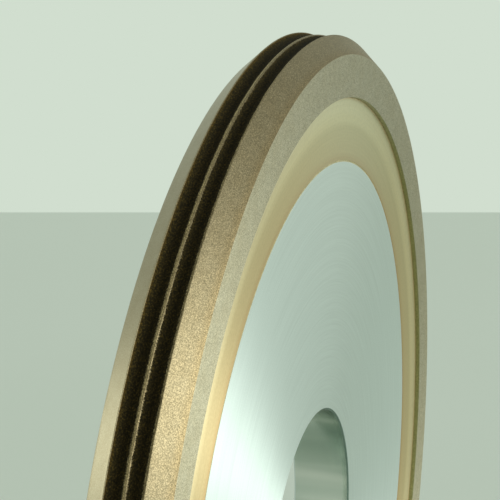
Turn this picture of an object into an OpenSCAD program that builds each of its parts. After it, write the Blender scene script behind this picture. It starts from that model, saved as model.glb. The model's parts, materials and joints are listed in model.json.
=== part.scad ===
// Diamond grinding wheel for edge profiling.
// The wheel turns about Y, +Z is up and the origin is the wheel's centre, midway between its two sides.

/* [Wheel] */
// Diameter over the diamond rim
wheel_d = 175; // [150:5:200]
// Width of the rim across its two flat sides
wheel_w = 12; // [12:0.5:20]

/* [Diamond rim] */
// Radial depth of the diamond layer
rim_depth = 10; // [6:0.5:12]
// Height of the corner chamfers, along the radius
chamfer_h = 3; // [1:0.1:4]
// Width of the corner chamfers, along the axis
chamfer_w = 3.2; // [2:0.1:3.2]
// Radius of the two round-bottomed grooves
groove_r = 1.66; // [1.5:0.02:1.66]
// Depth of the grooves below the rim's outer edges
groove_depth = 0.8; // [0.6:0.05:0.8]
// How far the ridge between the grooves stands below the outer edges
ridge_drop = 0.2; // [0.1:0.05:0.4]

/* [Foundation ring] */
// Radial depth of the diamond-free ring
ring_depth = 10.4; // [8:0.1:14]
// Step from the rim's flat side down to the ring and the core
side_step = 1; // [0.5:0.1:1.5]
// Radial width of the ring's sloping outer land
land_w = 6.2; // [2:0.1:6.5]
// Rise of that land towards the step
land_rise = 0.2; // [0.1:0.05:0.3]
// Thickness of the adhesive film between the ring and the core
film_t = 0.15; // [0.1:0.05:0.3]

/* [Core] */
// Diameter of the spindle bore
bore_d = 50.8; // [25.4:0.1:60]
// Chamfer at each end of the bore
bore_chamfer = 0.3; // [0.3:0.1:1]
// Edge break where the core's faces meet the film
core_break = 0.1; // [0.05:0.05:0.2]

/* [Hidden] */
$fn = 180;
// Extra reach of a cutter past the surface that it cuts
cut_over = 1;

wheel_r = wheel_d / 2;
half_w = wheel_w / 2;
rim_inner_r = wheel_r - rim_depth;
side_r = wheel_r - chamfer_h;
ring_inner_r = rim_inner_r - ring_depth;
core_r = ring_inner_r - film_t;
bore_r = bore_d / 2;

// Half width of the grooved band, and of the core and ring
band_half_w = half_w - chamfer_w;
core_half_w = half_w - side_step;
land_inner_r = rim_inner_r - land_w;

// A groove's round bottom starts at the outer edge of the band
groove_centre_r = wheel_r - groove_depth + groove_r;
groove_half_chord = sqrt(pow(groove_r, 2) - pow(groove_r - groove_depth, 2));
groove_offset = band_half_w - groove_half_chord;

// Turns an outline of [radius, side] about the wheel's axis, which lies along Y
module turned() {
    rotate([90, 0, 0])
        rotate_extrude()
            children();
}

// Outline of a plain ring between two radii and two sides
module ring_outline(inner_r, outer_r, half_t) {
    translate([inner_r, -half_t])
        square([outer_r - inner_r, 2 * half_t]);
}

module core() {
    color("#c9d0cc")
        turned()
            polygon([
                [bore_r, bore_chamfer - core_half_w],
                [bore_r + bore_chamfer, -core_half_w],
                [core_r - core_break, -core_half_w],
                [core_r, core_break - core_half_w],
                [core_r, core_half_w - core_break],
                [core_r - core_break, core_half_w],
                [bore_r + bore_chamfer, core_half_w],
                [bore_r, core_half_w - bore_chamfer]
            ]);
}

module bond_film() {
    color("#6d6a5c")
        turned()
            ring_outline(core_r, ring_inner_r, core_half_w - core_break);
}

module foundation_ring() {
    color("#e2c878")
        turned()
            polygon([
                [ring_inner_r, -core_half_w],
                [land_inner_r, -core_half_w],
                [rim_inner_r, -core_half_w - land_rise],
                [rim_inner_r, core_half_w + land_rise],
                [land_inner_r, core_half_w],
                [ring_inner_r, core_half_w]
            ]);
}

module rim_outline() {
    polygon([
        [rim_inner_r, -half_w],
        [side_r, -half_w],
        [wheel_r, -band_half_w],
        [wheel_r, band_half_w],
        [side_r, half_w],
        [rim_inner_r, half_w]
    ]);
}

// Both round grooves, with the ridge between them cut down to its own height
module groove_cutters() {
    for (side = [-1, 1])
        translate([groove_centre_r, side * groove_offset])
            circle(r = groove_r);
    translate([wheel_r - ridge_drop, -groove_offset])
        square([ridge_drop + cut_over, 2 * groove_offset]);
}

module diamond_rim() {
    color("#a89b73")
        turned()
            difference() {
                rim_outline();
                groove_cutters();
            }
}

core();
bond_film();
foundation_ring();
diamond_rim();
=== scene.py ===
import json
import math
import bpy
import numpy as np
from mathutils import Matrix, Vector


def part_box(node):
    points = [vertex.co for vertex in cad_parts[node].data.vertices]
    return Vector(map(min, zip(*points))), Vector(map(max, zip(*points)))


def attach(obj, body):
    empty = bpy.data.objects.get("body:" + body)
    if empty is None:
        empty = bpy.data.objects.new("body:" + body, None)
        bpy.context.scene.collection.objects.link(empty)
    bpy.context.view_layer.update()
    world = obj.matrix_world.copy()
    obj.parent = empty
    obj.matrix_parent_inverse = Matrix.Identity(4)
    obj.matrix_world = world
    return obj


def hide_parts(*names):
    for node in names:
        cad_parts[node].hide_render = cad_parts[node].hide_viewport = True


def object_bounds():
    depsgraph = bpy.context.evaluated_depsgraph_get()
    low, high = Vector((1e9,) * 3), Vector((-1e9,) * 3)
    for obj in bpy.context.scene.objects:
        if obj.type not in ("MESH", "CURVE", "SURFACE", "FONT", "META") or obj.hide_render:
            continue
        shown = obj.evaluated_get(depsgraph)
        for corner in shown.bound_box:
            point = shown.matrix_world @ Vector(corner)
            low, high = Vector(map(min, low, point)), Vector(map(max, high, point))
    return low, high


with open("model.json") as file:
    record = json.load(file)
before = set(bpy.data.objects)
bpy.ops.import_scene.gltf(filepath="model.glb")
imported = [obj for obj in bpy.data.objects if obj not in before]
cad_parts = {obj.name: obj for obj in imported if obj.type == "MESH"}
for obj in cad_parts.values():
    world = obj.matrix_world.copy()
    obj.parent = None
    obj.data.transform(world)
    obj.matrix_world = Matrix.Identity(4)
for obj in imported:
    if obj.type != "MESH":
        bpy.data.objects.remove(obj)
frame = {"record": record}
cadLow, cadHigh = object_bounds()
print("frame loaded")

mm = 0.001

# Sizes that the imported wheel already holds. The wheel turns about Y, and its front is the -Y side.
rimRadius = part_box("diamond_rim")[1].x
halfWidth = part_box("diamond_rim")[1].y
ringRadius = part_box("foundation_ring")[1].x
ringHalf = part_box("foundation_ring")[1].y
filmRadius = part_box("bond_film")[1].x
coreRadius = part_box("core")[1].x
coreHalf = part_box("core")[1].y
boreMount = next(m for m in frame["record"]["mounts"] if m["name"] == "bore")
boreRadius = boreMount["dims"]["r_mm"] * mm
boreHalf = boreMount["dims"]["length_mm"] * mm / 2


def linear(hexColour):
    def channel(v):
        return v / 12.92 if v <= 0.04045 else ((v + 0.055) / 1.055) ** 2.4
    parts = [int(hexColour[i:i + 2], 16) / 255 for i in (1, 3, 5)]
    return tuple(channel(v) for v in parts) + (1.0,)


def addNode(tree, kind, settings=None, links=None):
    # settings: attributes by name, sockets by name or number, and a ramp's stops as (place, colour)
    # links: socket -> output
    node = tree.nodes.new(kind)
    for key, value in (settings or {}).items():
        if key == "stops":
            elements = node.color_ramp.elements
            while len(elements) < len(value):
                elements.new(0.5)
            for element, (where, colour) in zip(elements, value):
                element.position = where
                element.color = linear(colour)
        elif isinstance(key, str) and hasattr(node, key):
            setattr(node, key, value)
        else:
            node.inputs[key].default_value = value
    for key, output in (links or {}).items():
        tree.links.new(output, node.inputs[key])
    return node


def newMaterial(name):
    # An empty material, its node tree, and the place of each point in the piece's own metres
    material = bpy.data.materials.new(name)
    material.use_nodes = True
    tree = material.node_tree
    tree.nodes.clear()
    position = addNode(tree, "ShaderNodeTexCoord").outputs["Object"]
    return material, tree, position


def fromAxis(tree, position):
    # The way straight out from the wheel's axis to each point, and how far that is
    flat = addNode(tree, "ShaderNodeVectorMath", {"operation": "MULTIPLY", 1: (1, 0, 1)}, {0: position})
    radius = addNode(tree, "ShaderNodeVectorMath", {"operation": "LENGTH"}, {0: flat.outputs[0]})
    return flat.outputs[0], radius.outputs["Value"]


def toolLines(tree, position, spacing, shortness):
    # Coordinates that draw noise out into lines round the axis, with no seam: spacing is a line's
    # breadth, and the higher shortness is, the shorter each line.
    flat, radius = fromAxis(tree, position)
    around = addNode(tree, "ShaderNodeVectorMath", {"operation": "NORMALIZE"}, {0: flat})
    turn = addNode(tree, "ShaderNodeVectorMath", {"operation": "SCALE", "Scale": shortness},
                   {0: around.outputs[0]})
    side = addNode(tree, "ShaderNodeSeparateXYZ", {}, {0: position})
    outward = addNode(tree, "ShaderNodeMath", {"operation": "MULTIPLY", 1: 1 / spacing}, {0: radius})
    width = addNode(tree, "ShaderNodeMath", {"operation": "MULTIPLY", 1: 1 / spacing},
                    {0: side.outputs["Y"]})
    rise = addNode(tree, "ShaderNodeMath", {"operation": "ADD"},
                   {0: outward.outputs[0], 1: width.outputs[0]})
    lift = addNode(tree, "ShaderNodeCombineXYZ", {}, {"Y": rise.outputs[0]})
    lines = addNode(tree, "ShaderNodeVectorMath", {"operation": "ADD"},
                    {0: turn.outputs[0], 1: lift.outputs[0]})
    return lines.outputs[0]


def wornSection(corners, wear, step, bend):
    # Runs round a closed section, rounds its corners over by wear, and keeps points step apart on
    # straight stretches and bend degrees apart on round ones.
    spread = 4                 # points in one length of wear
    reach = 6 * spread
    corners = np.array(corners + corners[:1])
    lengths = np.hypot(*np.diff(corners, axis=0).T)
    run = np.concatenate([[0], np.cumsum(lengths)])
    count = int(run[-1] / (wear / spread))
    places = np.arange(count) * run[-1] / count
    points = np.stack([np.interp(places, run, corners[:, i]) for i in (0, 1)], 1)
    weights = np.exp(-0.5 * (np.arange(-reach, reach + 1) / spread) ** 2)
    weights /= weights.sum()
    points = sum(w * np.roll(points, k - reach, axis=0) for k, w in enumerate(weights))
    ahead = np.roll(points, -1, axis=0) - points
    heading = np.unwrap(np.arctan2(ahead[:, 1], ahead[:, 0]))
    wholeTurn = np.sign(heading[-1] - heading[0]) * 2 * math.pi
    turn = np.abs(np.diff(heading, append=heading[0] + wholeTurn))
    cost = np.hypot(ahead[:, 0], ahead[:, 1]) / step + turn / math.radians(bend)
    total = np.concatenate([[0], np.cumsum(cost)])
    keep = np.arange(math.ceil(total[-1])) * total[-1] / math.ceil(total[-1])
    loop = np.concatenate([points, points[:1]])
    return np.stack([np.interp(keep, total, loop[:, i]) for i in (0, 1)], 1)


def turnedPiece(name, section, segments, relief=None):
    # Turns a closed section of (radius, side) points about the wheel's axis. relief gives each
    # vertex its own height along the surface's normal.
    count = len(section)
    angles = np.arange(segments) * 2 * math.pi / segments
    radius, side = section[:, 0], section[:, 1]
    if relief is None:
        radii = np.repeat(radius[None, :], segments, 0)
        sides = np.repeat(side[None, :], segments, 0)
    else:
        tangent = np.roll(section, -1, 0) - np.roll(section, 1, 0)
        tangent /= np.hypot(tangent[:, 0], tangent[:, 1])[:, None]
        radii = radius[None, :] + relief * tangent[None, :, 1]
        sides = side[None, :] - relief * tangent[None, :, 0]
    vertices = np.stack([radii * np.cos(angles)[:, None], sides, radii * np.sin(angles)[:, None]], 2)
    turn, point = np.meshgrid(np.arange(segments), np.arange(count), indexing="ij")
    nextTurn, nextPoint = (turn + 1) % segments, (point + 1) % count
    faces = np.stack([turn * count + point, turn * count + nextPoint,
                      nextTurn * count + nextPoint, nextTurn * count + point], 2)
    mesh = bpy.data.meshes.new(name)
    mesh.from_pydata(vertices.reshape(-1, 3).tolist(), [], faces.reshape(-1, 4).tolist())
    mesh.polygons.foreach_set("use_smooth", np.ones(segments * count, bool))
    mesh.update()
    piece = bpy.data.objects.new(name, mesh)
    bpy.context.scene.collection.objects.link(piece)
    return piece


def faceMiddles(section):
    # Radius and side of the middle of each stretch of a section, which picks its material
    middle = (section + np.roll(section, -1, 0)) / 2
    return middle[:, 0], middle[:, 1]


def dressPiece(piece, materials, zone, segments):
    # zone: the number of the material on each stretch of the section
    for material in materials:
        piece.data.materials.append(material)
    piece.data.polygons.foreach_set("material_index", np.tile(zone, segments))


def setOnWheel(piece, node):
    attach(piece, "root")
    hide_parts(node)
    print(piece.name, "made with", len(piece.data.polygons), "faces")


rim = {
    "grooveRadius": 1.66 * mm,
    "grooveDepth": 0.8 * mm,
    "ridgeDrop": 0.2 * mm,
    "chamferHeight": 3.0 * mm,
    "chamferWidth": 3.2 * mm,
    "wear": 0.07 * mm,           # how far the sharp edges are rounded over
    "step": 0.62 * mm,           # spacing of the outline's points on straight stretches
    "bend": 11.0,                # degrees turned between points on the round ones
    "segments": 720,
    # height of the grit that the mesh carries
    "chamferGrit": 0.005 * mm,
    "sideGrit": 0.002 * mm,
    "grooveGrit": 0.020 * mm,
    "gritSeed": 11,
    # Size of the drawn grain. The real grit, near 0.1 mm, would hardly show.
    "chamferGrain": 0.17 * mm,
    "grooveGrain": 0.26 * mm,
    "stepGrain": 0.30 * mm,
    "mottle": 2.5 * mm,
    "chamferBump": 0.007 * mm,
    "chamferTones": [(0.34, "#655b47"), (0.50, "#80735c"), (0.66, "#9e8d71")],
    # bare bond of the rubbed walls, partly worn and partly pale as painted light from behind
    "wornAndLitTones": [(0.34, "#6e6149"), (0.50, "#a5926f"), (0.66, "#dccaa0")],
    "skinTones": [(0.32, "#110e05"), (0.52, "#28210e"), (0.74, "#56461f")],
    # the skin near the lips, browner as painted light on the upper walls
    "litLipTones": [(0.32, "#241a08"), (0.52, "#40300f"), (0.74, "#6b5120")],
    "stepTones": [(0.3, "#868660"), (0.7, "#9f9f78")],
    # the two flat sides, and the chamfer at the back; fan is the pull of the ring-shaped scratches
    "sideFinish": {"grain": 0.11 * mm, "bump": 0.030 * mm, "rough": 0.62, "fan": 0.6,
                   "tones": [(0.34, "#8f8877"), (0.50, "#b3aa95"), (0.66, "#d8cdb5")]},
    "backFinish": {"grain": 0.15 * mm, "bump": 0.0060 * mm, "rough": 0.37, "fan": 0.0,
                   "tones": [(0.34, "#8f8368"), (0.50, "#988c73"), (0.66, "#a1967e")]},
    "cornerTone": "#f7deae",     # warm line where the chamfer turns into the side
    "grooveShadeTone": "#a8a090",      # painted shade that darkens the skin towards the groove's bottom
    "ridgeTone": "#f0ece4",      # takes the ridge down a little
    # depths between which the skin is browned by painted light near the lips, is rubbed off the
    # walls and painted pale there as if lit from behind, and is worn off the crest
    "litLipDepths": (0.45 * mm, 0.10 * mm),       # below the rim's outer edge
    "rubbedAndLitDepths": (0.54 * mm, 0.27 * mm),    # below the rim's outer edge
    "crestDepths": (0.19 * mm, 0.08 * mm),     # below the ridge's crest
    # distances across the width
    "ridgeReach": 0.6 * mm,                    # the crest's wear stays this near the middle
    "cornerFade": (1.1 * mm, 0.2 * mm),        # in from the side face
    "backLipFade": (0.14 * mm, 0.02 * mm),     # in from the back lip
    "frontLipFade": 0.16 * mm,                 # centred on the front lip
    "raggedRise": 0.10 * mm,                   # how far the grain shifts the skin's edges, up
    "raggedRun": 0.06 * mm,                    # and across
}

bandHalf = halfWidth - rim["chamferWidth"]     # half the width of the grooved band
centreLift = rim["grooveRadius"] - rim["grooveDepth"]     # from the outer edge out to a groove's centre
grooveOffset = bandHalf - math.sqrt(rim["grooveRadius"] ** 2 - centreLift ** 2)


def bondPattern(tree, position, grainSize, tones):
    # Colour and height of a bronze bond full of diamond grit
    grain = addNode(tree, "ShaderNodeTexNoise",
                    {"Scale": 1 / grainSize, "Detail": 2.0, "Roughness": 0.6}, {"Vector": position})
    mottle = addNode(tree, "ShaderNodeTexNoise", {"Scale": 1 / rim["mottle"], "Detail": 2.0},
                     {"Vector": position})
    bond = addNode(tree, "ShaderNodeValToRGB", {"stops": tones}, {0: grain.outputs[0]})
    shade = addNode(tree, "ShaderNodeValToRGB", {"stops": [(0.35, "#dfd5c0"), (0.65, "#ffffff")]},
                    {0: mottle.outputs[0]})
    colour = addNode(tree, "ShaderNodeMix", {"data_type": "RGBA", "blend_type": "MULTIPLY", 0: 0.2},
                     {6: bond.outputs[0], 7: shade.outputs[0]})
    return colour.outputs[2], grain.outputs[0]


def groundBond(name, finish):
    # Bronze bond full of diamond grit, ground smooth: a matte tan metal with a faint speckle. Where
    # it was ground in rings, anisotropy draws the light into a fan.
    material, tree, position = newMaterial(name)
    colour, height = bondPattern(tree, position, finish["grain"], finish["tones"])
    rough = addNode(tree, "ShaderNodeMapRange", {3: finish["rough"] + 0.03, 4: finish["rough"] - 0.03},
                    {0: height})
    bump = addNode(tree, "ShaderNodeBump", {"Strength": 0.8, "Distance": finish["bump"]},
                   {"Height": height})
    tangent = addNode(tree, "ShaderNodeTangent", {"direction_type": "RADIAL", "axis": "Y"})
    shader = addNode(tree, "ShaderNodeBsdfPrincipled",
                     {"Metallic": 1.0, "Anisotropic": finish["fan"], "Anisotropic Rotation": 0.25},
                     {"Base Color": colour, "Roughness": rough.outputs[0],
                      "Normal": bump.outputs[0], "Tangent": tangent.outputs[0]})
    addNode(tree, "ShaderNodeOutputMaterial", {}, {0: shader.outputs[0]})
    return material


def skinEdges(tree, radius, side, reach, grain, crestRadius):
    # Three masks, from 0 on whole skin to 1 on bare bond: the grooves' front walls alone, whose
    # bare part also takes painted light from behind, those and the ridge, and all of it. Their edges
    # follow the grain, so they are ragged.
    rise = addNode(tree, "ShaderNodeMapRange",
                   {1: 0.3, 2: 0.7, 3: -rim["raggedRise"], 4: rim["raggedRise"]}, {0: grain})
    level = addNode(tree, "ShaderNodeMath", {"operation": "ADD"}, {0: radius, 1: rise.outputs[0]})

    # each groove's front wall, rubbed half clean from the top down, and that part painted pale as
    # if lit from behind
    inner = addNode(tree, "ShaderNodeMath", {"operation": "SUBTRACT", 0: grooveOffset}, {1: reach})
    facing = addNode(tree, "ShaderNodeMath", {"operation": "MULTIPLY"}, {0: side, 1: inner.outputs[0]})
    frontWall = addNode(tree, "ShaderNodeMath", {"operation": "GREATER_THAN", 1: 0.0},
                        {0: facing.outputs[0]})
    inBand = addNode(tree, "ShaderNodeMath", {"operation": "LESS_THAN", 1: bandHalf}, {0: reach})
    bandWall = addNode(tree, "ShaderNodeMath", {"operation": "MULTIPLY"},
                       {0: inBand.outputs[0], 1: frontWall.outputs[0]})
    deep, shallow = rim["rubbedAndLitDepths"]
    rubbedAndLit = addNode(tree, "ShaderNodeMapRange",
                     {"interpolation_type": "SMOOTHSTEP", 1: rimRadius - deep, 2: rimRadius - shallow},
                     {0: level.outputs[0]})
    wallRubbedAndLit = addNode(tree, "ShaderNodeMath", {"operation": "MULTIPLY"},
                        {0: rubbedAndLit.outputs[0], 1: bandWall.outputs[0]})

    # the ridge's crest
    deep, shallow = rim["crestDepths"]
    onCrest = addNode(tree, "ShaderNodeMapRange",
                      {"interpolation_type": "SMOOTHSTEP", 1: crestRadius - deep,
                       2: crestRadius - shallow}, {0: level.outputs[0]})
    nearRidge = addNode(tree, "ShaderNodeMath", {"operation": "LESS_THAN", 1: rim["ridgeReach"]},
                        {0: reach})
    crest = addNode(tree, "ShaderNodeMath", {"operation": "MULTIPLY"},
                    {0: onCrest.outputs[0], 1: nearRidge.outputs[0]})
    ridge = addNode(tree, "ShaderNodeMath", {"operation": "MAXIMUM"},
                    {0: wallRubbedAndLit.outputs[0], 1: crest.outputs[0]})

    # the back lip and the front chamfer
    far, near = rim["backLipFade"]
    backLip = addNode(tree, "ShaderNodeMapRange",
                      {"interpolation_type": "SMOOTHSTEP", 1: bandHalf - far, 2: bandHalf - near},
                      {0: side})
    run = addNode(tree, "ShaderNodeMapRange",
                  {1: 0.3, 2: 0.7, 3: rim["raggedRun"], 4: -rim["raggedRun"]}, {0: grain})
    shifted = addNode(tree, "ShaderNodeMath", {"operation": "ADD"}, {0: side, 1: run.outputs[0]})
    chamfer = addNode(tree, "ShaderNodeMapRange",
                      {"interpolation_type": "SMOOTHSTEP", 1: -bandHalf + rim["frontLipFade"] / 2,
                       2: -bandHalf - rim["frontLipFade"] / 2}, {0: shifted.outputs[0]})
    lips = addNode(tree, "ShaderNodeMath", {"operation": "MAXIMUM"},
                   {0: backLip.outputs[0], 1: chamfer.outputs[0]})
    clean = addNode(tree, "ShaderNodeMath", {"operation": "MAXIMUM"},
                    {0: ridge.outputs[0], 1: lips.outputs[0]})
    return wallRubbedAndLit.outputs[0], ridge.outputs[0], clean.outputs[0]


def profiledBond(crestRadius):
    # The band that does the grinding. Its front chamfer is dressed open, so every grain shows as a
    # speck. The grooves keep the dull black-brown skin that cutting by sparks leaves, with painted
    # shade darkening it towards the bottom and painted light browning it near the lips, and it is worn
    # off along the ridge, the lips and part of the walls, whose rubbed part is painted pale as if lit
    # from behind.
    material, tree, position = newMaterial("profiledBond")
    bond, bondHeight = bondPattern(tree, position, rim["chamferGrain"], rim["chamferTones"])
    radius = fromAxis(tree, position)[1]
    side = addNode(tree, "ShaderNodeSeparateXYZ", {}, {0: position}).outputs["Y"]
    reach = addNode(tree, "ShaderNodeMath", {"operation": "ABSOLUTE"}, {0: side}).outputs[0]
    grain = addNode(tree, "ShaderNodeTexNoise",
                    {"Scale": 1 / rim["grooveGrain"], "Detail": 3.0, "Roughness": 0.7},
                    {"Vector": position}).outputs[0]
    wallRubbedAndLit, ridge, clean = skinEdges(tree, radius, side, reach, grain, crestRadius)

    # bare bond, warmer at the corner, paler on the rubbed walls as painted light from behind, and
    # toned down along the ridge
    far, near = rim["cornerFade"]
    corner = addNode(tree, "ShaderNodeMapRange",
                     {1: halfWidth - far, 2: halfWidth - near, 3: 0.0, 4: 0.25}, {0: reach})
    warm = addNode(tree, "ShaderNodeMix",
                   {"data_type": "RGBA", "blend_type": "MULTIPLY", 7: linear(rim["cornerTone"])},
                   {0: corner.outputs[0], 6: bond})
    wornAndLit = addNode(tree, "ShaderNodeValToRGB", {"stops": rim["wornAndLitTones"]}, {0: grain})
    rubbedAndLit = addNode(tree, "ShaderNodeMix", {"data_type": "RGBA"},
                     {0: wallRubbedAndLit, 6: warm.outputs[2], 7: wornAndLit.outputs[0]})
    bare = addNode(tree, "ShaderNodeMix",
                   {"data_type": "RGBA", "blend_type": "MULTIPLY", 7: linear(rim["ridgeTone"])},
                   {0: ridge, 6: rubbedAndLit.outputs[2]})

    # the skin, darkest at the bottom as painted shade and browner towards the lips as painted light
    dark = addNode(tree, "ShaderNodeValToRGB", {"stops": rim["skinTones"]}, {0: grain})
    depth = addNode(tree, "ShaderNodeMapRange",
                    {1: rimRadius - rim["grooveDepth"], 2: rimRadius - 0.25 * rim["grooveDepth"],
                     3: 0.9, 4: 0.0}, {0: radius})
    shadedSkin = addNode(tree, "ShaderNodeMix",
                       {"data_type": "RGBA", "blend_type": "MULTIPLY", 7: linear(rim["grooveShadeTone"])},
                       {0: depth.outputs[0], 6: dark.outputs[0]})
    brown = addNode(tree, "ShaderNodeValToRGB", {"stops": rim["litLipTones"]}, {0: grain})
    deep, shallow = rim["litLipDepths"]
    nearLip = addNode(tree, "ShaderNodeMapRange",
                      {1: rimRadius - deep, 2: rimRadius - shallow, 3: 0.0, 4: 0.8}, {0: radius})
    skin = addNode(tree, "ShaderNodeMix", {"data_type": "RGBA"},
                   {0: nearLip.outputs[0], 6: shadedSkin.outputs[2], 7: brown.outputs[0]})

    colour = addNode(tree, "ShaderNodeMix", {"data_type": "RGBA"},
                     {0: clean, 6: skin.outputs[2], 7: bare.outputs[2]})
    rough = addNode(tree, "ShaderNodeMapRange", {3: 0.95, 4: 0.53}, {0: clean})
    height = addNode(tree, "ShaderNodeMath", {"operation": "ADD"}, {0: bondHeight, 1: grain})
    bump = addNode(tree, "ShaderNodeBump", {"Strength": 0.8, "Distance": rim["chamferBump"]},
                   {"Height": height.outputs[0]})
    shader = addNode(tree, "ShaderNodeBsdfPrincipled", {"Specular IOR Level": 0.1},
                     {"Base Color": colour.outputs[2], "Metallic": clean, "Roughness": rough.outputs[0],
                      "Normal": bump.outputs[0]})
    addNode(tree, "ShaderNodeOutputMaterial", {}, {0: shader.outputs[0]})
    return material


def sinteredSkin():
    # The bond as it left the sintering mould, on the wall of the step: olive, with a soft gleam
    material, tree, position = newMaterial("sinteredSkin")
    grain = addNode(tree, "ShaderNodeTexNoise", {"Scale": 1 / rim["stepGrain"], "Detail": 2.0},
                    {"Vector": position})
    colour = addNode(tree, "ShaderNodeValToRGB", {"stops": rim["stepTones"]}, {0: grain.outputs[0]})
    rough = addNode(tree, "ShaderNodeMapRange", {3: 0.30, 4: 0.42}, {0: grain.outputs[0]})
    shader = addNode(tree, "ShaderNodeBsdfPrincipled", {"Metallic": 1.0},
                     {"Base Color": colour.outputs[0], "Roughness": rough.outputs[0]})
    addNode(tree, "ShaderNodeOutputMaterial", {}, {0: shader.outputs[0]})
    return material


def grooveArc(centreRadius, centreSide):
    # From the lip on the -Y side, through the bottom, to the other lip
    start = math.asin(centreLift / rim["grooveRadius"])
    spans = 40
    points = []
    for k in range(spans + 1):
        angle = start + (math.pi - 2 * start) * k / spans
        points.append((centreRadius - rim["grooveRadius"] * math.sin(angle),
                       centreSide - rim["grooveRadius"] * math.cos(angle)))
    return points


def rimSection():
    centre = rimRadius - rim["grooveDepth"] + rim["grooveRadius"]
    crest = rimRadius - rim["ridgeDrop"]
    sideRadius = rimRadius - rim["chamferHeight"]
    # the front groove ends where its wall meets the ridge's crest or the wheel's middle
    front = [p for p in grooveArc(centre, -grooveOffset)
             if p[1] < 0 and (p[1] < -grooveOffset or p[0] < crest)]
    back = [(r, -y) for r, y in reversed(front)]
    corners = [(ringRadius, -halfWidth), (sideRadius, -halfWidth)]
    corners += front + back
    corners += [(sideRadius, halfWidth), (ringRadius, halfWidth)]
    return wornSection(corners, rim["wear"], rim["step"], rim["bend"])


def gritRelief(section, segments):
    # A seeded height for each vertex, larger where the surface is rougher, and none inside. The
    # limits stand a few hundredths of a millimetre off each surface, to clear the worn corners.
    radius, side = section[:, 0], section[:, 1]
    sideFace = np.abs(side) > halfWidth - 0.02 * mm
    groove = (np.abs(side) < bandHalf) & (radius < rimRadius - rim["ridgeDrop"] * 1.3)
    inside = radius < ringRadius + 0.05 * mm
    size = np.where(sideFace, rim["sideGrit"], np.where(groove, rim["grooveGrit"], rim["chamferGrit"]))
    size = np.where(inside, 0.0, size)
    rng = np.random.default_rng(rim["gritSeed"])
    heights = rng.normal(0.0, 1.0, (segments, len(section)))
    heights = 0.6 * heights + 0.4 * np.roll(heights, 1, 0)
    return np.clip(heights, -2, 1.2) * size[None, :]


def makeRim():
    section = rimSection()
    relief = gritRelief(section, rim["segments"])
    piece = turnedPiece("diamondRim", section, rim["segments"], relief)
    crestRadius = section[np.abs(section[:, 1]) < 0.4 * mm, 0].max()     # the ridge's, after wear
    materials = [profiledBond(crestRadius),
                 groundBond("groundBondSide", rim["sideFinish"]),
                 groundBond("groundBondBack", rim["backFinish"]),
                 sinteredSkin()]
    radius, side = faceMiddles(section)
    zone = np.zeros(len(section), int)
    zone[side > bandHalf + 0.02 * mm] = 2
    zone[np.abs(side) > halfWidth - 0.03 * mm] = 1
    zone[radius < ringRadius + 0.03 * mm] = 3
    dressPiece(piece, materials, zone, rim["segments"])
    setOnWheel(piece, "diamond_rim")


ring = {
    "landWidth": 6.2 * mm,
    "wear": 0.04 * mm,
    "step": 0.9 * mm,
    "bend": 10.0,
    "segments": 480,
    "lineSpacing": 0.35 * mm,    # a fine cut's lines, near 0.1 mm apart, would not show
    "lineShortness": 2.0,
    "poreSize": 0.45 * mm,       # real pores are a few hundredths of a millimetre, too fine to show
    "lineTones": [(0.30, "#efddbf"), (0.55, "#f2e1c5"), (0.80, "#f5e5ca")],
    "poreTones": [(0.30, "#dcd8cc"), (0.62, "#ffffff")],
    # tones from the ring's inner edge to its outer one: redder at the inner edge, paler on the land
    # as painted light, and a thin strip of painted shade at the step
    "toneAndLightAcross": [(0.0, "#e2ccae"), (0.16, "#e9dcc3"), (0.50, "#eae0c9"), (0.66, "#fbf4e2"),
                   (0.95, "#fffaf0"), (1.0, "#f6dcc0")],
    "edgeTint": "#f2ffff",       # takes a little red out of what it mirrors at low angles
}


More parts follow.
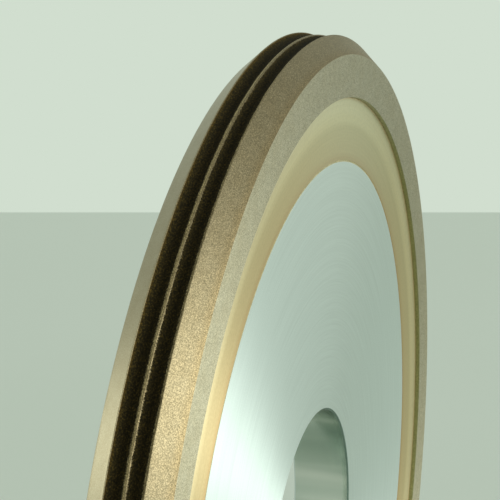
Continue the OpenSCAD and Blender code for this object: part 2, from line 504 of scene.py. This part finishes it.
def turnedBronze():
    # Sintered bronze without diamond, faced in the same cut as the core: a light yellow metal with
    # fine tool lines, redder at its inner edge, with painted light that makes the land paler as it
    # rises to the rim and a thin strip of painted shade where it meets the step.
    material, tree, position = newMaterial("turnedBronze")
    radius = fromAxis(tree, position)[1]
    lines = toolLines(tree, position, ring["lineSpacing"], ring["lineShortness"])
    fine = addNode(tree, "ShaderNodeTexNoise", {"Scale": 1.0, "Detail": 2.0}, {"Vector": lines})
    pores = addNode(tree, "ShaderNodeTexNoise", {"Scale": 1 / ring["poreSize"], "Detail": 3.0},
                    {"Vector": position})
    metal = addNode(tree, "ShaderNodeValToRGB", {"stops": ring["lineTones"]}, {0: fine.outputs[0]})
    across = addNode(tree, "ShaderNodeMapRange", {1: filmRadius, 2: ringRadius}, {0: radius})
    toneAndLight = addNode(tree, "ShaderNodeValToRGB", {"stops": ring["toneAndLightAcross"]}, {0: across.outputs[0]})
    toned = addNode(tree, "ShaderNodeMix", {"data_type": "RGBA", "blend_type": "MULTIPLY", 0: 1.0},
                    {6: metal.outputs[0], 7: toneAndLight.outputs[0]})
    pitted = addNode(tree, "ShaderNodeValToRGB", {"stops": ring["poreTones"]}, {0: pores.outputs[0]})
    colour = addNode(tree, "ShaderNodeMix", {"data_type": "RGBA", "blend_type": "MULTIPLY", 0: 0.25},
                     {6: toned.outputs[2], 7: pitted.outputs[0]})
    bump = addNode(tree, "ShaderNodeBump", {"Strength": 0.5, "Distance": 0.0012 * mm},
                   {"Height": fine.outputs[0]})
    rough = addNode(tree, "ShaderNodeMapRange", {3: 0.41, 4: 0.45}, {0: pores.outputs[0]})
    tangent = addNode(tree, "ShaderNodeTangent", {"direction_type": "RADIAL", "axis": "Y"})
    shader = addNode(tree, "ShaderNodeBsdfPrincipled",
                     {"Metallic": 1.0, "Anisotropic": 0.80, "Anisotropic Rotation": 0.25,
                      "Specular Tint": linear(ring["edgeTint"])},
                     {"Base Color": colour.outputs[2], "Roughness": rough.outputs[0],
                      "Normal": bump.outputs[0], "Tangent": tangent.outputs[0]})
    addNode(tree, "ShaderNodeOutputMaterial", {}, {0: shader.outputs[0]})
    return material


def landArc(side):
    # The ring's outer land curls up to the step, from level at its inner edge
    landRadius = ringRadius - ring["landWidth"]
    rise = ringHalf - coreHalf
    spans = 8
    return [(landRadius + ring["landWidth"] * k / spans, side * (coreHalf + rise * (k / spans) ** 2))
            for k in range(spans + 1)]


def makeFoundationRing():
    corners = [(filmRadius, -coreHalf)] + landArc(-1) + landArc(1)[::-1] + [(filmRadius, coreHalf)]
    section = wornSection(corners, ring["wear"], ring["step"], ring["bend"])
    piece = turnedPiece("foundationRing", section, ring["segments"])
    piece.data.materials.append(turnedBronze())
    setOnWheel(piece, "foundation_ring")


core = {
    "edgeBreak": 0.1 * mm,
    "wear": 0.03 * mm,
    "step": 2.0 * mm,
    "bend": 10.0,
    "segments": 480,
    "lineSpacing": 0.35 * mm,    # a fine cut's lines, near 0.1 mm apart, would not show
    "lineShortness": 2.2,
    "cloudSize": 0.2 * mm,       # faint mottling of the turned faces
    "bandWidth": 9 * mm,         # soft bands of painted reflection along the bore
    "chamferGrain": 0.4 * mm,
    "lineTones": [(0.30, "#dfe6e6"), (0.52, "#e4ebeb"), (0.75, "#e9f0f0")],
    "cloudTones": [(0.30, "#e2e4e4"), (0.70, "#ffffff")],
    # the bore's tones, darkened as a painted reflection of dark surroundings
    "boreTonesAndReflection": [(0.34, "#a9b8ae"), (0.50, "#c0cbc2"), (0.62, "#fbfaf4")],
    "chamferTones": [(0.35, "#66786f"), (0.65, "#788a81")],
}


def turnedAluminium():
    # Aluminium alloy, faced on a lathe and left bare: pale grey, nearly smooth, with the light drawn
    # into a fan by the circular tool lines.
    material, tree, position = newMaterial("turnedAluminium")
    lines = toolLines(tree, position, core["lineSpacing"], core["lineShortness"])
    fine = addNode(tree, "ShaderNodeTexNoise", {"Scale": 1.0, "Detail": 3.0, "Roughness": 0.6},
                   {"Vector": lines})
    cloud = addNode(tree, "ShaderNodeTexNoise", {"Scale": 1 / core["cloudSize"], "Detail": 1.0},
                    {"Vector": position})
    metal = addNode(tree, "ShaderNodeValToRGB", {"stops": core["lineTones"]}, {0: fine.outputs[0]})
    shade = addNode(tree, "ShaderNodeValToRGB", {"stops": core["cloudTones"]}, {0: cloud.outputs[0]})
    colour = addNode(tree, "ShaderNodeMix", {"data_type": "RGBA", "blend_type": "MULTIPLY", 0: 0.3},
                     {6: metal.outputs[0], 7: shade.outputs[0]})
    bump = addNode(tree, "ShaderNodeBump", {"Strength": 0.5, "Distance": 0.0060 * mm},
                   {"Height": fine.outputs[0]})
    rough = addNode(tree, "ShaderNodeMapRange", {3: 0.405, 4: 0.455}, {0: fine.outputs[0]})
    tangent = addNode(tree, "ShaderNodeTangent", {"direction_type": "RADIAL", "axis": "Y"})
    shader = addNode(tree, "ShaderNodeBsdfPrincipled",
                     {"Metallic": 1.0, "Anisotropic": 0.80, "Anisotropic Rotation": 0.25},
                     {"Base Color": colour.outputs[2], "Roughness": rough.outputs[0],
                      "Normal": bump.outputs[0], "Tangent": tangent.outputs[0]})
    addNode(tree, "ShaderNodeOutputMaterial", {}, {0: shader.outputs[0]})
    return material


def boredAluminium():
    # The bore's wall, finished with a boring bar: smoother and shinier than the faces. Its colour is
    # darkened in soft light and dark bands that run along the hole, a painted reflection of dark
    # surroundings.
    material, tree, position = newMaterial("boredAluminium")
    stretched = addNode(tree, "ShaderNodeVectorMath", {"operation": "MULTIPLY", 1: (1, 0.12, 1)},
                        {0: position})
    bands = addNode(tree, "ShaderNodeTexNoise",
                    {"Scale": 1 / core["bandWidth"], "Detail": 2.0, "Roughness": 0.45},
                    {"Vector": stretched.outputs[0]})
    metal = addNode(tree, "ShaderNodeValToRGB", {"stops": core["boreTonesAndReflection"]}, {0: bands.outputs[0]})
    rough = addNode(tree, "ShaderNodeMapRange", {3: 0.15, 4: 0.24}, {0: bands.outputs[0]})
    shader = addNode(tree, "ShaderNodeBsdfPrincipled", {"Metallic": 1.0},
                     {"Base Color": metal.outputs[0], "Roughness": rough.outputs[0]})
    addNode(tree, "ShaderNodeOutputMaterial", {}, {0: shader.outputs[0]})
    return material


def cutAluminium():
    # The small chamfer at the bore's front end: a coarser cut, which reads as a thin dark line
    material, tree, position = newMaterial("cutAluminium")
    grain = addNode(tree, "ShaderNodeTexNoise", {"Scale": 1 / core["chamferGrain"], "Detail": 2.0},
                    {"Vector": position})
    metal = addNode(tree, "ShaderNodeValToRGB", {"stops": core["chamferTones"]}, {0: grain.outputs[0]})
    rough = addNode(tree, "ShaderNodeMapRange", {3: 0.45, 4: 0.6}, {0: grain.outputs[0]})
    shader = addNode(tree, "ShaderNodeBsdfPrincipled", {"Metallic": 1.0},
                     {"Base Color": metal.outputs[0], "Roughness": rough.outputs[0]})
    addNode(tree, "ShaderNodeOutputMaterial", {}, {0: shader.outputs[0]})
    return material


def makeCore():
    chamfer = coreHalf - boreHalf
    edge = core["edgeBreak"]
    corners = [(boreRadius, -boreHalf), (boreRadius + chamfer, -coreHalf), (coreRadius - edge, -coreHalf),
               (coreRadius, edge - coreHalf), (coreRadius, coreHalf - edge),
               (coreRadius - edge, coreHalf), (boreRadius + chamfer, coreHalf), (boreRadius, boreHalf)]
    section = wornSection(corners, core["wear"], core["step"], core["bend"])
    piece = turnedPiece("coreDisc", section, core["segments"])
    # the epoxy also fills the edge break
    materials = [turnedAluminium(), boredAluminium(), cutAluminium(), curedEpoxy()]
    radius, side = faceMiddles(section)
    zone = np.zeros(len(section), int)
    zone[(radius < boreRadius + chamfer) & (side < 0)] = 2
    zone[(radius < boreRadius + chamfer) & (np.abs(side) < boreHalf)] = 1
    zone[radius > coreRadius - edge] = 3
    dressPiece(piece, materials, zone, core["segments"])
    setOnWheel(piece, "core")


film = {
    "step": 1.0 * mm,
    "bend": 20.0,
    "wear": 0.01 * mm,
    "segments": 480,
    "cloudSize": 0.8 * mm,
    "tones": [(0.35, "#8c8262"), (0.65, "#a59b7a")],
}


def curedEpoxy():
    # Structural epoxy, wiped flush before it cured: a thin, matte, yellow-grey line
    material, tree, position = newMaterial("curedEpoxy")
    cloud = addNode(tree, "ShaderNodeTexNoise", {"Scale": 1 / film["cloudSize"], "Detail": 2.0},
                    {"Vector": position})
    colour = addNode(tree, "ShaderNodeValToRGB", {"stops": film["tones"]}, {0: cloud.outputs[0]})
    rough = addNode(tree, "ShaderNodeMapRange", {3: 0.45, 4: 0.65}, {0: cloud.outputs[0]})
    shader = addNode(tree, "ShaderNodeBsdfPrincipled", {},
                     {"Base Color": colour.outputs[0], "Roughness": rough.outputs[0]})
    addNode(tree, "ShaderNodeOutputMaterial", {}, {0: shader.outputs[0]})
    return material


def makeFilm():
    top = coreHalf - core["edgeBreak"]
    corners = [(coreRadius, -top), (filmRadius, -top), (filmRadius, top), (coreRadius, top)]
    section = wornSection(corners, film["wear"], film["step"], film["bend"])
    piece = turnedPiece("bondFilm", section, film["segments"])
    piece.data.materials.append(curedEpoxy())
    setOnWheel(piece, "bond_film")


camera = {
    "azimuth": -73.09,           # degrees, 0 looks along +Y
    "elevation": 19.21,
    "distance": 368.5 * mm,
    "aim": (13.2 * mm, 9.5 * mm, 49.1 * mm),
    "lens": 159.17,
}


def makeCamera():
    turn, lift = math.radians(camera["azimuth"]), math.radians(camera["elevation"])
    back = Vector((math.sin(turn) * math.cos(lift), -math.cos(turn) * math.cos(lift), math.sin(lift)))
    data = bpy.data.cameras.new("camera")
    data.lens = camera["lens"]
    data.sensor_width = 36
    data.clip_start = 0.01
    holder = bpy.data.objects.new("camera", data)
    bpy.context.scene.collection.objects.link(holder)
    holder.location = Vector(camera["aim"]) + back * camera["distance"]
    holder.rotation_mode = "QUATERNION"
    holder.rotation_quaternion = (-back).to_track_quat("-Z", "Y")
    bpy.context.scene.camera = holder
    print("camera set")


tableTop = {
    "colour": "#dee1de",
    "behind": 450 * mm,          # from the wheel to the table's far edge
    "reach": 1500 * mm,
    "thickness": 20 * mm,
}


def paintedTable():
    # Painted board: pale and matte, with clouds about 170 mm across that are hardly there
    material, tree, position = newMaterial("paintedTable")
    cloud = addNode(tree, "ShaderNodeTexNoise", {"Scale": 6.0, "Detail": 2.0}, {"Vector": position})
    shade = addNode(tree, "ShaderNodeValToRGB", {"stops": [(0.3, "#eef2ec"), (0.7, "#ffffff")]},
                    {0: cloud.outputs[0]})
    colour = addNode(tree, "ShaderNodeMix",
                     {"data_type": "RGBA", "blend_type": "MULTIPLY", 0: 0.15, 6: linear(tableTop["colour"])},
                     {7: shade.outputs[0]})
    shader = addNode(tree, "ShaderNodeBsdfPrincipled", {"Roughness": 0.8, "Specular IOR Level": 0.2},
                     {"Base Color": colour.outputs[2]})
    addNode(tree, "ShaderNodeOutputMaterial", {}, {0: shader.outputs[0]})
    return material


def makeTable():
    # A pale table top whose far edge lies square to the view
    turn = math.radians(camera["azimuth"])
    away = Vector((-math.sin(turn), math.cos(turn), 0))
    across = Vector((away.y, -away.x, 0))
    far, reach = tableTop["behind"], tableTop["reach"]
    edges = [(far, -reach), (far, reach), (-reach, reach), (-reach, -reach)]
    upper = [away * d + across * s + Vector((0, 0, cadLow.z)) for d, s in edges]
    lower = [p - Vector((0, 0, tableTop["thickness"])) for p in upper]
    faces = [(0, 1, 2, 3), (7, 6, 5, 4)] + [(k, k + 4, (k + 1) % 4 + 4, (k + 1) % 4) for k in range(4)]
    mesh = bpy.data.meshes.new("table")
    mesh.from_pydata(upper + lower, [], faces)
    mesh.materials.append(paintedTable())
    table = bpy.data.objects.new("table", mesh)
    bpy.context.scene.collection.objects.link(table)
    return table


light = {
    "roomColour": "#d1decf",     # pale green-white tent all round
    "roomStrength": 1.0,
    "lampColour": "#f6fff5",
    # soft boxes before and behind the wheel: place, width, height and watts
    "lamps": {
        "frontBox": ((-110 * mm, -545 * mm, 270 * mm), 240 * mm, 180 * mm, 3.3),
        "backBox": ((20 * mm, 472 * mm, 62 * mm), 200 * mm, 120 * mm, 0.27),
    },
}


def addLamp(name, where, width, height, watts, flagged):
    data = bpy.data.lights.new(name, "AREA")
    data.shape = "RECTANGLE"
    data.size = width
    data.size_y = height
    data.energy = watts
    data.color = linear(light["lampColour"])[:3]
    lamp = bpy.data.objects.new(name, data)
    bpy.context.scene.collection.objects.link(lamp)
    lamp.location = where
    lamp.rotation_mode = "QUATERNION"
    lamp.rotation_quaternion = (-Vector(where)).to_track_quat("-Z", "Y")
    lamp.visible_camera = False
    lamp.light_linking.receiver_collection = flagged


def makeLight(table):
    # the boxes are flagged off the table top, so that it keeps the room's even light
    flagged = bpy.data.collections.new("flaggedFromBoxes")
    flagged.objects.link(table)
    flagged.collection_objects[0].light_linking.link_state = "EXCLUDE"
    world = bpy.data.worlds.new("room")
    bpy.context.scene.world = world
    world.use_nodes = True
    background = world.node_tree.nodes["Background"]
    background.inputs[0].default_value = linear(light["roomColour"])
    background.inputs[1].default_value = light["roomStrength"]
    for name, (where, width, height, watts) in light["lamps"].items():
        addLamp(name, where, width, height, watts, flagged)
    bpy.context.scene.view_settings.view_transform = "Standard"
    print("room and", len(light["lamps"]), "soft boxes lit")


makeCamera()
makeRim()
makeFoundationRing()
makeCore()
makeFilm()
makeLight(makeTable())
print("scene made")
